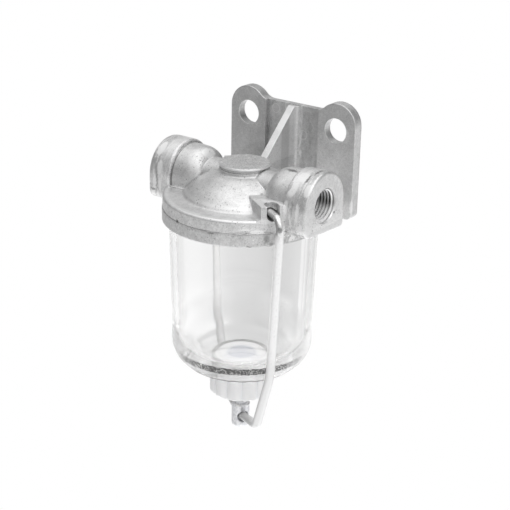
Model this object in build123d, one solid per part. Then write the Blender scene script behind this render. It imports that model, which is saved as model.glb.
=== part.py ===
from build123d import *
import os, math

os.makedirs("parts", exist_ok=True)

# ---------------------------------------------------------------- frame
# Origin: centre of the two bracket holes, on the bracket's back face.
# +Z up, the front of the head faces -Y, the ports run along X.
# Below, every height and radius is given from the head's own axis:
# r = 0 on the bowl axis, z = 0 on the lower rim of the head.
axis_to_back = 37.05      # bowl axis to the bracket's back face
hole_height = 34.3        # bracket holes above the lower rim

# ---------------------------------------------------------------- head
rim_r = 33.9              # lower band of the flange
band_r = 33.65            # upper band, above the parting line
parting_z = 5.5
ledge_z = 10.8            # flat ledge round the dome
ledge_edge = 1.3          # rounding of the ledge's outer edge
dome_r = 33.8             # spherical dome
dome_c = -11.3            # height of the dome's centre
dome_wall = 3.4
dome_root = 1.4           # fillet at the foot of the dome
socket_r = 32.0           # socket that takes the bowl's rim
seat_z = 6.2              # sealing seat inside the socket
seat_r = 9.85             # turned seat under the plug
seat_top = 23.45
collar_r = 10.45          # collar round the seat
collar_z = 22.2
collar_root = 1.3         # its concave foot on the dome
plug_r, plug_top = 10.66, 24.36
boss_r = 7.5              # central down-pipe inside the dome
boss_low = 0.8
down_r = 4.5              # its bore

# ports, M14 x 1.5
port_z = 14.36
port_end = 39.9           # end faces at x = -/+ port_end
block_in = 28.9           # inner end of each end block
block_hw = 14.0           # half width of the block
block_zc = 14.0           # centre of its round top
block_edge = 1.2          # rounding of its two ends
# underside of the blocks, at the front and at the rear, and the front corner
low_in = (3.7, 3.7, 4.0)
low_out = (3.5, 1.95, 4.5)
# half width of the necks at their distance from the head's axis
neck = [(30.2, 12.66), (26.0, 12.63), (24.0, 12.6), (22.0, 12.45), (20.5, 12.1),
        (19.2, 11.5), (18.2, 10.8), (17.4, 9.9), (16.9, 9.0), (16.7, 8.2)]
ridge_r, ridge_zc = 7.9, 15.0    # ridges from the necks in under the plug
thread_r = 7.0            # root radius of the M14 x 1.5 thread
thread_len = 12.0
mouth_r = 7.46
passage_r = 4.25

# bracket
hole_x = 22.45            # holes at x = -/+ hole_x
hole_r = 5.3
pad_t = 4.7
web_t = 2.75
pad_in, pad_out = 13.4, 32.1
ear_r = 9.3
ear_z = 36.6
web_fillet = 6.5          # from the ears down to the web's top
plate_low = -3.4
plate_edge = 0.5          # rounding of the front edges
hole_edge = 0.7           # chamfer of the holes on the back face
web_top = 41.4
rib_t = 3.2
rib_root = 2.6            # concave roots of the rib on the web

# lugs for the bail
bail_az = 58.0            # bail plane, degrees from -Y towards +X
lug_az = 57.0
lug_w = 10.2
lug_top = 16.5
lug_root = 1.5            # concave foot of the lug's sides
slot_w = 5.4
slot_off = -0.15
slot_back = 28.0
slot_floor = 10.3
hook_z = 12.3             # height of the wire's hooks
hook_hole_r = 2.0         # blind holes that take the wire's ends
hook_hole_end = 25.5

# ---------------------------------------------------------------- bowl
bowl_top = 3.2
bowl_r0, bowl_r1 = 31.4, 30.25   # outside radius at z = 0 and at the corner
bowl_low = -65.4
corner_h, corner_v = 10.5, 12.4  # bottom corner, across and up
bowl_wall = 3.2
floor_t = 7.3
inner_corner = 8.5

# ---------------------------------------------------------------- clamp
nut_low, nut_top = -79.3, -69.6
nut_r = 14.0
lobes = 12
lobe_r = 4.0
pad_r = 13.0
pad_gap = 0.05            # clamped: the pad all but touches the glass
dimple_r, dimple_t = 5.8, 0.6    # shallow recess in the middle of the pad's face
insert_r = 6.0
insert_bore = 3.2
insert_top = -67.4
screw_r = 2.75            # core of the M6 thread
screw_top = -74.2         # 5 mm engaged when clamped, free space above it for the travel
eye_r = 4.0
eye_top, eye_low = -86.7, -98.7
eye_hole_r = 2.6
eye_hole_z = -92.5

# wire path in the bail plane: (radius, height), bend radius
wire_path = [((26.0, hook_z), None),
             ((39.15, hook_z), 4.4),
             ((32.8, -57.9), 26.0),
             ((19.0, -88.5), 5.0),
             ((0.0, -92.9), 9.0)]


def rz_face(build):
    """Face in the XZ plane from a function that draws lines in (r, z)."""
    with BuildSketch(Plane.XZ) as sk:
        with BuildLine():
            build()
        make_face()
    return sk.sketch


def turned(build):
    return revolve(rz_face(build), Axis.Z, 360)


def ring(r0, r1, z0, z1):
    return Pos(0, 0, (z0 + z1) / 2) * (Cylinder(r1, z1 - z0) - Cylinder(r0, z1 - z0 + 1))


def cyl(r, z0, z1):
    return Pos(0, 0, (z0 + z1) / 2) * Cylinder(r, z1 - z0)


def x_cyl(r, x0, x1, z):
    return Pos((x0 + x1) / 2, 0, z) * Rot(0, 90, 0) * Cylinder(r, abs(x1 - x0))


def box(x0, x1, y0, y1, z0, z1):
    return Pos((x0 + x1) / 2, (y0 + y1) / 2, (z0 + z1) / 2) * Box(x1 - x0, y1 - y0, z1 - z0)


def d_face(x, hw, zc, low_front, low_rear):
    """D-shaped section across X: round top, straight sides, flat bottom."""
    with BuildSketch(Plane(origin=(x, 0, 0), x_dir=(0, 1, 0), z_dir=(1, 0, 0))) as sk:
        with BuildLine():
            Polyline((hw, zc), (hw, low_rear), (-hw, low_front), (-hw, zc))
            ThreePointArc((-hw, zc), (0, zc + hw), (hw, zc))
        make_face()
    return sk.sketch


def port_side(lows):
    """One port on the +X side: end block, bulbous neck and ridge."""
    low_front, low_rear, corner = lows
    block = extrude(d_face(block_in, block_hw, block_zc, low_front, low_rear), port_end - block_in)
    block = fillet(edges_where(block, lambda e: abs(e.center().Y + block_hw) < 0.01
                               and abs(e.center().Z - low_front) < 0.01), corner)
    block = fillet(edges_where(block, lambda e: abs(e.center().Y - block_hw) < 0.01
                               and abs(e.center().Z - low_rear) < 0.01), 1.7)
    block = fillet(edges_where(block, lambda e: abs(e.center().X - port_end) < 0.01), block_edge)
    block = fillet(edges_where(block, lambda e: abs(e.center().X - block_in) < 0.01), block_edge)
    # round top of the neck, turned about the line through the block's centre
    with BuildSketch() as half:
        with BuildLine():
            Spline(*neck)
            Polyline(neck[-1], (neck[-1][0], 0), (neck[0][0], 0), neck[0])
        make_face()
    upper = Pos(0, 0, block_zc) * revolve(half.sketch, Axis.X, 180)
    with BuildSketch() as plan:
        with BuildLine():
            Spline(*neck)
            Spline(*[(x, -r) for x, r in neck])
            Line(neck[0], (neck[0][0], -neck[0][1]))
            Line(neck[-1], (neck[-1][0], -neck[-1][1]))
        make_face()
    lower = Pos(0, 0, block_zc) * extrude(plan.sketch, -6.0)
    ridge = x_cyl(ridge_r, 8.5, neck[-1][0] + 0.6, ridge_zc)
    return block + (upper + lower) + ridge


def edges_where(shape, test):
    return [e for e in shape.edges() if test(e)]


# ================================================================ head casting
def make_head():
    # --- dome, collar and flange, one turned outline
    foot_r = math.sqrt(dome_r ** 2 - (ledge_z - dome_c) ** 2)
    # centre of the collar's concave foot, and where it meets the dome
    cx = collar_r + collar_root
    cz = dome_c + math.sqrt((dome_r + collar_root) ** 2 - cx ** 2)
    k = dome_r / (dome_r + collar_root)
    tx, tz = cx * k, dome_c + (cz - dome_c) * k
    half = (math.pi + math.atan2(tz - cz, tx - cx) + 2 * math.pi) / 2
    collar_edge = 0.35

    def outline():
        a = math.radians(60)
        e = ledge_edge
        s = math.sqrt(0.5)
        Line((foot_r, ledge_z), (band_r - e, ledge_z))
        ThreePointArc((band_r - e, ledge_z), (band_r - e + e * s, ledge_z - e + e * s),
                      (band_r, ledge_z - e))
        Polyline((band_r, ledge_z - e), (band_r, parting_z + 0.2), (band_r - 0.13, parting_z),
                 (rim_r - 0.06, parting_z - 0.12), (rim_r, parting_z - 0.8),
                 (rim_r, 0.4), (rim_r - 0.4, 0), (0, 0), (0, seat_top), (seat_r, seat_top),
                 (seat_r, collar_z), (collar_r - collar_edge, collar_z))
        ThreePointArc((collar_r - collar_edge, collar_z),
                      (collar_r - collar_edge * (1 - s), collar_z - collar_edge * (1 - s)),
                      (collar_r, collar_z - collar_edge))
        Line((collar_r, collar_z - collar_edge), (collar_r, cz))
        ThreePointArc((collar_r, cz), (cx + collar_root * math.cos(half), cz + collar_root * math.sin(half)),
                      (tx, tz))
        ThreePointArc((tx, tz), (dome_r * math.cos(a), dome_c + dome_r * math.sin(a)),
                      (foot_r, ledge_z))
    body = turned(outline)
    body = fillet(edges_where(body, lambda e: e.geom_type == GeomType.CIRCLE
                              and abs(e.radius - foot_r) < 0.01), dome_root)
    # --- ports: end blocks, necks and the ridges that run in under the plug
    body += port_side(low_out)
    body += mirror(port_side(low_in), Plane.YZ)
    # --- lugs that carry the bail, front and rear
    hw = lug_w / 2
    lug = box(-hw, hw, -38, -17, 6, lug_top)
    lug = fillet(edges_where(lug, lambda e: abs(e.center().Z - lug_top) < 0.01), 0.5)
    lug &= cyl(band_r + 0.03, 0, 30)
    for s in (-1, 1):
        foot = box(min(s * hw, s * (hw + lug_root)), max(s * hw, s * (hw + lug_root)),
                   -34, -20, ledge_z - 1.6, ledge_z + lug_root)
        foot -= Pos(s * (hw + lug_root), -27, ledge_z + lug_root) * Rot(90, 0, 0) * \
            Cylinder(lug_root, 20)
        lug += foot & cyl(band_r - 0.25, 0, 30)
    sr = slot_w / 2
    slot = box(-sr, sr, -45, -slot_back - sr, slot_floor + sr, 30)
    slot += Pos(0, -slot_back - sr, slot_floor + sr + 10) * Cylinder(sr, 20)
    slot += Pos(0, -(slot_back + sr + 45) / 2, slot_floor + sr) * Rot(90, 0, 0) * \
        Cylinder(sr, 45 - slot_back - sr)
    slot += Pos(0, -slot_back - sr, slot_floor + sr) * Sphere(sr)
    slot = Pos(slot_off, 0, 0) * slot
    hole = Pos(0, -(hook_hole_end + 31) / 2, hook_z) * Rot(90, 0, 0) * \
        Cylinder(hook_hole_r, 31 - hook_hole_end)
    for turn in (0, 180):
        body += Rot(0, 0, lug_az + turn) * lug
    for turn in (0, 180):
        body -= Rot(0, 0, lug_az + turn) * slot
        body -= Rot(0, 0, bail_az + turn) * hole
    # --- bracket plate with two ears and a recessed web
    ex = pad_out - ear_r
    dz = web_top + web_fillet - ear_z
    dx = math.sqrt((ear_r + web_fillet) ** 2 - dz ** 2)
    k = ear_r / (ear_r + web_fillet)
    toe = (ex - dx * k, ear_z + dz * k)              # ear arc meets its fillet
    start = (ex - dx, web_top)                       # fillet meets the web's top
    mid_a = math.atan2(-dz, dx) / 2 - math.pi / 4
    mid = (start[0] + web_fillet * math.cos(mid_a), web_top + web_fillet + web_fillet * math.sin(mid_a))
    cr = 3.0
    c45 = cr * (1 - math.sqrt(0.5))
    with BuildSketch(Plane.XZ) as sk:
        with BuildLine():
            Line((-pad_out + cr, plate_low), (pad_out - cr, plate_low))
            for s in (1, -1):
                ThreePointArc((s * (pad_out - cr), plate_low), (s * (pad_out - c45), plate_low + c45),
                              (s * pad_out, plate_low + cr))
                Line((s * pad_out, plate_low + cr), (s * pad_out, ear_z))
                ThreePointArc((s * pad_out, ear_z), (s * ex, ear_z + ear_r), (s * toe[0], toe[1]))
                ThreePointArc((s * toe[0], toe[1]), (s * mid[0], mid[1]), (s * start[0], start[1]))
            Line((-start[0], web_top), (start[0], web_top))
        make_face()
    plate_face = sk.sketch
    plate = extrude(plate_face, pad_t, dir=(0, -1, 0))
    front = -pad_t
    rim = edges_where(plate, lambda e: abs(e.center().Y - front) < 0.01)
    plate = fillet(rim, plate_edge)
    plate = Pos(0, axis_to_back, 0) * plate
    front = axis_to_back - pad_t
    back = axis_to_back - web_t
    pe, c = 0.5, 0.5 * (1 - math.sqrt(0.5))
    with BuildSketch() as sk:
        with BuildLine():
            Polyline((-pad_in - pe, front), (-pad_in - pe, front - 1), (pad_in + pe, front - 1),
                     (pad_in + pe, front))
            ThreePointArc((pad_in + pe, front), (pad_in + c, front + c), (pad_in, front + pe))
            Polyline((pad_in, front + pe), (pad_in, back), (-pad_in, back), (-pad_in, front + pe))
            ThreePointArc((-pad_in, front + pe), (-pad_in - c, front + c), (-pad_in - pe, front))
        make_face()
    plate -= Pos(0, 0, plate_low - 1) * extrude(sk.sketch, 60)
    body += plate
    for s in (-1, 1):
        body -= Pos(s * hole_x, axis_to_back - pad_t / 2, hole_height) * Rot(90, 0, 0) * \
            Cylinder(hole_r, pad_t + 2)
        edge = Cone(hole_r + hole_edge + 1, hole_r, hole_edge + 1)
        body -= Pos(s * hole_x, axis_to_back - (hole_edge - 1) / 2, hole_height) * Rot(90, 0, 0) * edge
    # --- rib from the dome up to the web, and the saddle behind the flange
    with BuildSketch(Plane.YZ) as sk:
        with BuildLine():
            Polyline((axis_to_back - 0.5, web_top - 0.4), (axis_to_back - web_t - 2.2, web_top - 0.4),
                     (8.5, 18.6), (8.5, 12), (30, 0.8), (axis_to_back - 0.5, 0.8), close=True)
        make_face()
    rib = extrude(sk.sketch, rib_t / 2, both=True)
    wide = rib_t / 2 + rib_root
    root = box(-wide, wide, back - rib_root, back + 0.4, 0.8, web_top - 0.4)
    for s in (-1, 1):
        root -= Pos(s * wide, back - rib_root, 20) * Cylinder(rib_root, 60)
    body += rib + (root & extrude(sk.sketch, wide, both=True))
    body += box(-11, 11, 26, axis_to_back - 0.5, 0.8, 9.8)
    # --- inside: socket, seat, hollow dome
    cavity = cyl(socket_r, -5, seat_z)
    inner = dome_r - dome_wall
    hollow = Pos(0, 0, dome_c) * Sphere(inner)
    hollow &= cyl(40, seat_z - 0.5, 40)
    body -= cavity
    body -= hollow
    # --- down-pipe with the inlet passage; the outlet opens into the dome
    body += cyl(boss_r, boss_low, 19.5)
    body += x_cyl(passage_r + 2.2, -22, -2, port_z)
    body -= cyl(down_r, boss_low - 1, seat_top + 1)
    body -= cyl(insert_r, 18.9, seat_top + 1)
    body -= x_cyl(passage_r, -(port_end - thread_len + 1), 0, port_z)
    body -= x_cyl(passage_r, boss_r + 2, port_end - thread_len + 1, port_z)
    for s in (-1, 1):
        body -= x_cyl(thread_r, s * (port_end - thread_len), s * (port_end + 1), port_z)
        mouth = Cone(mouth_r, thread_r - 0.54, 1.0)
        body -= Pos(s * (port_end - 0.5), 0, port_z) * Rot(0, -90 * s, 0) * mouth
    return body


# ================================================================ small parts of the head
def make_plug():
    p = cyl(plug_r, seat_top, plug_top)
    p = fillet(edges_where(p, lambda e: abs(e.center().Z - plug_top) < 0.01), 0.7)
    shank = cyl(insert_r, 19.2, seat_top + 0.1)
    shank = chamfer(edges_where(shank, lambda e: abs(e.center().Z - 19.2) < 0.01), 0.4)
    return p + shank


def make_gasket():
    g = ring(26.2, 31.5, bowl_top, bowl_top + 1.8)
    return g


def make_strainer():
    z0, z1 = bowl_top + 1.8, seat_z
    g0, g1 = z0 + 0.4, z1 - 0.4
    rim = ring(26.0, 31.3, z0, z1) - ring(20, 28.5, g0, g1)
    eyelet = ring(boss_r + 0.15, 10.4, z0, z1) - ring(8.9, 12, g0, g1)
    gauze = ring(8.9, 28.5, g0, g1)
    return rim, eyelet, gauze


# ================================================================ bowl
def make_bowl():
    top_r = bowl_r0 + (bowl_r0 - bowl_r1) * bowl_top / (corner_v - bowl_low) * 1.0
    cz = bowl_low + corner_v
    ec = bowl_r1 - corner_h
    in_top = top_r - bowl_wall
    in_low = bowl_r1 - bowl_wall
    fz = bowl_low + floor_t

    def outline():
        l1 = Line((top_r, bowl_top), (bowl_r1, cz))
        EllipticalCenterArc((ec, cz), corner_h, corner_v, start_angle=270, arc_size=90)
        Polyline((ec, bowl_low), (0, bowl_low), (0, fz), (in_low - inner_corner, fz))
        ThreePointArc((in_low - inner_corner, fz),
                      (in_low - inner_corner + inner_corner * math.sin(math.radians(45)),
                       fz + inner_corner - inner_corner * math.cos(math.radians(45))),
                      (in_low, fz + inner_corner))
        Polyline((in_low, fz + inner_corner), (in_top, bowl_top), (top_r, bowl_top))
    b = turned(outline)
    b = fillet(edges_where(b, lambda e: e.geom_type == GeomType.CIRCLE
                           and abs(e.center().Z - bowl_top) < 0.01), 0.6)
    return b


# ================================================================ clamp
def make_nut():
    n = cyl(11.5, nut_low, nut_top)
    for i in range(lobes):
        n += Rot(0, 0, i * 360 / lobes + 24.0 - 90.0) * Pos(nut_r - lobe_r, 0, 0) * \
            cyl(lobe_r, nut_low, nut_top)
    crown = turned(lambda: Polyline((0, nut_low), (nut_r - 0.7, nut_low), (nut_r + 0.1, nut_low + 0.8),
                                    (nut_r + 0.1, nut_top - 0.9), (nut_r - 0.8, nut_top),
                                    (0, nut_top), (0, nut_low)))
    n &= crown
    n -= cyl(9.6, nut_low - 1, nut_low + 2.0) - cyl(7.6, nut_low - 2, nut_low + 3)
    n -= cyl(insert_r, nut_low - 1, nut_top + 1)
    return n


def make_insert():
    i = cyl(insert_r, nut_low, insert_top)
    i = chamfer(edges_where(i, lambda e: abs(e.center().Z - insert_top) < 0.01), 0.4)
    i -= cyl(insert_bore, nut_low - 1, insert_top + 1)
    return i


def make_pad():
    top = bowl_low - pad_gap
    p = cyl(pad_r, nut_top, top)
    p = fillet(edges_where(p, lambda e: abs(e.center().Z - top) < 0.01), 0.8)
    p -= cyl(insert_r + 0.15, nut_top - 1, insert_top + 0.1)      # blind bore over the insert
    p -= cyl(dimple_r, top - dimple_t, top + 1)
    return p


def make_screw():
    head = cyl(eye_r, eye_low, eye_top)
    head = fillet(edges_where(head, lambda e: abs(e.center().Z - eye_low) < 0.01), 2.4)
    head = chamfer(edges_where(head, lambda e: abs(e.center().Z - eye_top) < 0.01), 0.45)
    shank = cyl(screw_r, eye_top - 0.5, screw_top)
    shank = chamfer(edges_where(shank, lambda e: abs(e.center().Z - screw_top) < 0.01), 0.5)
    s = head + shank
    hole = Rot(0, 0, bail_az) * Pos(0, 0, eye_hole_z) * Rot(90, 0, 0) * Cylinder(eye_hole_r, 12)
    s -= hole
    mouths = edges_where(s, lambda e: abs(e.center().Z - eye_hole_z) < 0.6
                         and e.length > 10 and abs(math.hypot(e.center().X, e.center().Y)) > 2.5)
    return chamfer(mouths, 0.3) if mouths else s


def make_bail():
    """Round wire, a little flattened where the legs run in to the eye."""
    az = math.radians(bail_az)
    rad = Vector(math.sin(az), -math.cos(az), 0)     # outward in the bail plane
    tan = Vector(math.cos(az), math.sin(az), 0)      # across the plane

    def at(p):
        return rad * p[0] + Vector(0, 0, p[1])

    pts = [p for p, _ in wire_path]
    rads = [r for _, r in wire_path]
    full = pts + [(-x, z) for x, z in reversed(pts[:-1])]
    frad = rads + list(reversed(rads[:-1]))
    # section (across, through) at the ends of each straight run; the leg's
    # upper run swells from the bend's section in its first tenth
    swell = (0.1, (3.45, 3.45))
    half = [((3.0, 3.05), (3.0, 3.05), None), ((3.0, 3.05), (3.9, 3.4), swell),
            ((3.9, 3.4), (4.4, 3.1), None), ((4.4, 3.1), (3.7, 3.6), None)]
    runs = half + [(b, a, m and (1 - m[0], m[1])) for a, b, m in reversed(half)]

    def section(p, direction, size):
        pl = Plane(origin=at(p), x_dir=tan, z_dir=rad * direction[0] + Vector(0, 0, direction[1]))
        return pl * Ellipse(size[0] / 2, size[1] / 2)

    def unit(a, b):
        d = (b[0] - a[0], b[1] - a[1])
        n = math.hypot(*d)
        return (d[0] / n, d[1] / n), n

    solids = []
    cursor = full[0]
    length = 0.0
    for i in range(1, len(full)):
        d1, n1 = unit(full[i - 1], full[i])
        if i < len(full) - 1:
            d2, n2 = unit(full[i], full[i + 1])
            cosang = -(d1[0] * d2[0] + d1[1] * d2[1])
            th = math.acos(max(-1, min(1, cosang)))
            cut = frad[i] / math.tan(th / 2)
            end = (full[i][0] - d1[0] * cut, full[i][1] - d1[1] * cut)
            nxt = (full[i][0] + d2[0] * cut, full[i][1] + d2[1] * cut)
        else:
            end = full[i]
        first, last, mid = runs[i - 1]
        if mid:
            f, size = mid
            p = (cursor[0] + (end[0] - cursor[0]) * f, cursor[1] + (end[1] - cursor[1]) * f)
            solids.append(loft([section(cursor, d1, first), section(p, d1, size)]))
            solids.append(loft([section(p, d1, size), section(end, d1, last)]))
        else:
            solids.append(loft([section(cursor, d1, first), section(end, d1, last)]))
        length += math.dist(cursor, end)
        if i < len(full) - 1:
            bis = (d2[0] - d1[0], d2[1] - d1[1])
            bn = math.hypot(*bis)
            c = (full[i][0] + bis[0] / bn * frad[i] / math.sin(th / 2),
                 full[i][1] + bis[1] / bn * frad[i] / math.sin(th / 2))
            m = (c[0] - bis[0] / bn * frad[i], c[1] - bis[1] / bn * frad[i])
            arc = Edge.make_three_point_arc(at(end), at(m), at(nxt))
            solids.append(sweep(section(end, d1, runs[i - 1][1]), path=arc))
            length += arc.length
            cursor = nxt
    print("bail wire length", round(length, 1))
    w = solids[0]
    for s in solids[1:]:
        w += s
    return w


# ================================================================ write the parts
rim, eyelet, gauze = make_strainer()
parts = {
    "head_casting": make_head(),
    "core_plug": make_plug(),
    "bowl_gasket": make_gasket(),
    "strainer_rim": rim,
    "strainer_eyelet": eyelet,
    "strainer_gauze": gauze,
    "glass_bowl": make_bowl(),
    "bail_wire": make_bail(),
    "eye_screw": make_screw(),
    "clamp_nut": make_nut(),
    "nut_insert": make_insert(),
    "thrust_pad": make_pad(),
}
shift = Pos(0, -axis_to_back, -hole_height)
for name, shape in parts.items():
    placed = shift * shape
    solids = placed.solids()
    print(name, len(solids), round(sum(s.volume for s in solids), 1))
    out = solids[0] if len(solids) == 1 else Compound(children=list(solids))
    out.label = name
    export_step(out, f"parts/{name}.step")
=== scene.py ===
import bpy, bmesh, math, random
from mathutils import Vector, Matrix


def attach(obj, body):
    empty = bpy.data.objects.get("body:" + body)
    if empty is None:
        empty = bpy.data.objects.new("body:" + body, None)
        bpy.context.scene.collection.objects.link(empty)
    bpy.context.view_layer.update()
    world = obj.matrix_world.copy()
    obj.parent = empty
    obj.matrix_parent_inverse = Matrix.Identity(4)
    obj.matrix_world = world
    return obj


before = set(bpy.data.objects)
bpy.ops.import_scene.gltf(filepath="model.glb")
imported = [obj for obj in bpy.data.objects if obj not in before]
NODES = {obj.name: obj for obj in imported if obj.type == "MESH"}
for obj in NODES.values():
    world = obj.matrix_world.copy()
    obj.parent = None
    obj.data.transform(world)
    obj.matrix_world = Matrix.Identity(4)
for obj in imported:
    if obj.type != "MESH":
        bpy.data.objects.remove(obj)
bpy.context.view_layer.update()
scene = bpy.context.scene
random.seed(11)

MM = 0.001
AY, HZ = 37.05, 34.3                     # bowl axis to the bracket's back face, holes above the lower rim


def P(x, y, z):
    """Point in head coordinates (mm) to the row's frame (m)."""
    return Vector((x * MM, (y - AY) * MM, (z - HZ) * MM))


# ---------------------------------------------------------------- camera
right = Vector((0.801879, 0.597181, 0.019104)).normalized()
back = Vector((0.547007, -0.746618, 0.378610)).normalized()
up = back.cross(right).normalized()
cam_data = bpy.data.cameras.new("camera")
cam = bpy.data.objects.new("camera", cam_data)
scene.collection.objects.link(cam)
cam_data.sensor_width = 36
cam_data.lens = 1207.41 * 36 / 510
cam_data.clip_start, cam_data.clip_end = 0.01, 60
m = Matrix.Identity(4)
for i in range(3):
    m[i][0], m[i][1], m[i][2] = right[i], up[i], back[i]
where = P(281.6185, -375.9658, 175.4619)
for i in range(3):
    m[i][3] = where[i]
cam.matrix_world = m
scene.camera = cam
scene.view_settings.view_transform = "Standard"
scene.view_settings.look = "None"
scene.view_settings.exposure = 0.0
scene.view_settings.gamma = 1.0


# ---------------------------------------------------------------- node helpers
class Graph:
    """Builds a node tree; every socket argument may be a socket, a number or a vector."""

    def __init__(self, tree):
        self.t = tree

    def new(self, kind, **props):
        n = self.t.nodes.new(kind)
        for k, v in props.items():
            setattr(n, k, v)
        return n

    def put(self, sock, v):
        if v is None:
            return
        if isinstance(v, bpy.types.NodeSocket):
            self.t.links.new(v, sock)
        else:
            sock.default_value = v

    def math(self, op, a, b=None, c=None, clamp=False):
        n = self.new("ShaderNodeMath", operation=op, use_clamp=clamp)
        self.put(n.inputs[0], a)
        self.put(n.inputs[1], b)
        self.put(n.inputs[2], c)
        return n.outputs[0]

    def vmath(self, op, a, b=None, scale=None):
        n = self.new("ShaderNodeVectorMath", operation=op)
        self.put(n.inputs[0], a)
        self.put(n.inputs[1], b)
        if scale is not None:
            self.put(n.inputs["Scale"], scale)
        return n.outputs["Value"] if op in ("DOT_PRODUCT", "LENGTH", "DISTANCE") else n.outputs["Vector"]

    def mm(self):
        """Position on the object in head coordinates, millimetres."""
        co = self.new("ShaderNodeTexCoord").outputs["Object"]
        v = self.vmath("SCALE", co, scale=1000.0)
        return self.vmath("ADD", v, (0.0, AY, HZ))

    def sep(self, v):
        n = self.new("ShaderNodeSeparateXYZ")
        self.put(n.inputs[0], v)
        return n.outputs[0], n.outputs[1], n.outputs[2]

    def join(self, x, y, z):
        n = self.new("ShaderNodeCombineXYZ")
        for i, v in enumerate((x, y, z)):
            self.put(n.inputs[i], v)
        return n.outputs[0]

    def noise(self, v, scale, detail=3.0, rough=0.55, dist=0.0, out="Fac"):
        n = self.new("ShaderNodeTexNoise")
        self.put(n.inputs["Vector"], v)
        n.inputs["Scale"].default_value = scale
        n.inputs["Detail"].default_value = detail
        n.inputs["Roughness"].default_value = rough
        n.inputs["Distortion"].default_value = dist
        return n.outputs[0] if out == "Fac" else n.outputs[1]

    def voronoi(self, v, scale, feature="F1", rand=1.0, out="Distance"):
        n = self.new("ShaderNodeTexVoronoi", feature=feature)
        self.put(n.inputs["Vector"], v)
        n.inputs["Scale"].default_value = scale
        n.inputs["Randomness"].default_value = rand
        return n.outputs[out]

    def step(self, v, a, b, lo=0.0, hi=1.0):
        """Smooth step of v from a to b, giving lo to hi."""
        n = self.new("ShaderNodeMapRange", interpolation_type="SMOOTHSTEP")
        self.put(n.inputs["Value"], v)
        n.inputs["From Min"].default_value = a
        n.inputs["From Max"].default_value = b
        n.inputs["To Min"].default_value = lo
        n.inputs["To Max"].default_value = hi
        return n.outputs[0]

    def lin(self, v, a, b, lo=0.0, hi=1.0):
        n = self.new("ShaderNodeMapRange")
        self.put(n.inputs["Value"], v)
        n.inputs["From Min"].default_value = a
        n.inputs["From Max"].default_value = b
        n.inputs["To Min"].default_value = lo
        n.inputs["To Max"].default_value = hi
        return n.outputs[0]

    def mix(self, fac, a, b):
        """Mix of two colours."""
        n = self.new("ShaderNodeMix", data_type="RGBA")
        self.put(n.inputs[0], fac)
        self.put(n.inputs[6], (*a, 1.0) if isinstance(a, tuple) and len(a) == 3 else a)
        self.put(n.inputs[7], (*b, 1.0) if isinstance(b, tuple) and len(b) == 3 else b)
        return n.outputs[2]

    def mixf(self, fac, a, b):
        n = self.new("ShaderNodeMix", data_type="FLOAT")
        self.put(n.inputs[0], fac)
        self.put(n.inputs[2], a)
        self.put(n.inputs[3], b)
        return n.outputs[0]

    def bump(self, height, dist, strength=1.0, normal=None):
        n = self.new("ShaderNodeBump")
        n.inputs["Strength"].default_value = strength
        n.inputs["Distance"].default_value = dist
        self.put(n.inputs["Height"], height)
        self.put(n.inputs["Normal"], normal)
        return n.outputs[0]

    def total(self, *parts):
        out = parts[0]
        for q in parts[1:]:
            out = self.math("ADD", out, q)
        return out

    def times(self, *parts):
        out = parts[0]
        for q in parts[1:]:
            out = self.math("MULTIPLY", out, q)
        return out

    def either(self, *parts):
        out = parts[0]
        for q in parts[1:]:
            out = self.math("MAXIMUM", out, q)
        return out

    def spot(self, p, centre, radii, soft=0.35):
        """1 inside a soft ellipsoid (mm), 0 outside."""
        q = self.vmath("MULTIPLY", self.vmath("SUBTRACT", p, centre), tuple(1.0 / r for r in radii))
        return self.step(self.vmath("LENGTH", q), 1.0 - soft, 1.0 + soft, 1.0, 0.0)

    def band(self, v, a, b, soft):
        """1 where v lies between a and b."""
        return self.math("MULTIPLY", self.step(v, a - soft, a + soft), self.step(v, b - soft, b + soft, 1.0, 0.0))

    def crevice(self, dist, samples=5):
        n = self.new("ShaderNodeAmbientOcclusion", samples=samples)
        n.inputs["Distance"].default_value = dist
        return n.outputs["AO"]

    def edge_mask(self, radius, a=0.90, b=0.985):
        """1 on convex and concave edges, from how far a rounded normal leaves the true one."""
        soft = self.bevel(radius, 5)
        true = self.new("ShaderNodeNewGeometry").outputs["Normal"]
        return self.step(self.vmath("DOT_PRODUCT", soft, true), a, b, 1.0, 0.0)

    def bevel(self, radius, samples=6):
        n = self.new("ShaderNodeBevel", samples=samples)
        n.inputs["Radius"].default_value = radius
        return n.outputs[0]


def material(name):
    mat = bpy.data.materials.new(name)
    mat.use_nodes = True
    t = mat.node_tree
    t.nodes.clear()
    g = Graph(t)
    out = g.new("ShaderNodeOutputMaterial")
    bsdf = g.new("ShaderNodeBsdfPrincipled")
    t.links.new(bsdf.outputs[0], out.inputs[0])
    return mat, g, bsdf


def dress(obj, mat):
    obj.data.materials.clear()
    obj.data.materials.append(mat)


# ---------------------------------------------------------------- studio
def unit(*v):
    return tuple(Vector(v).normalized())


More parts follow.
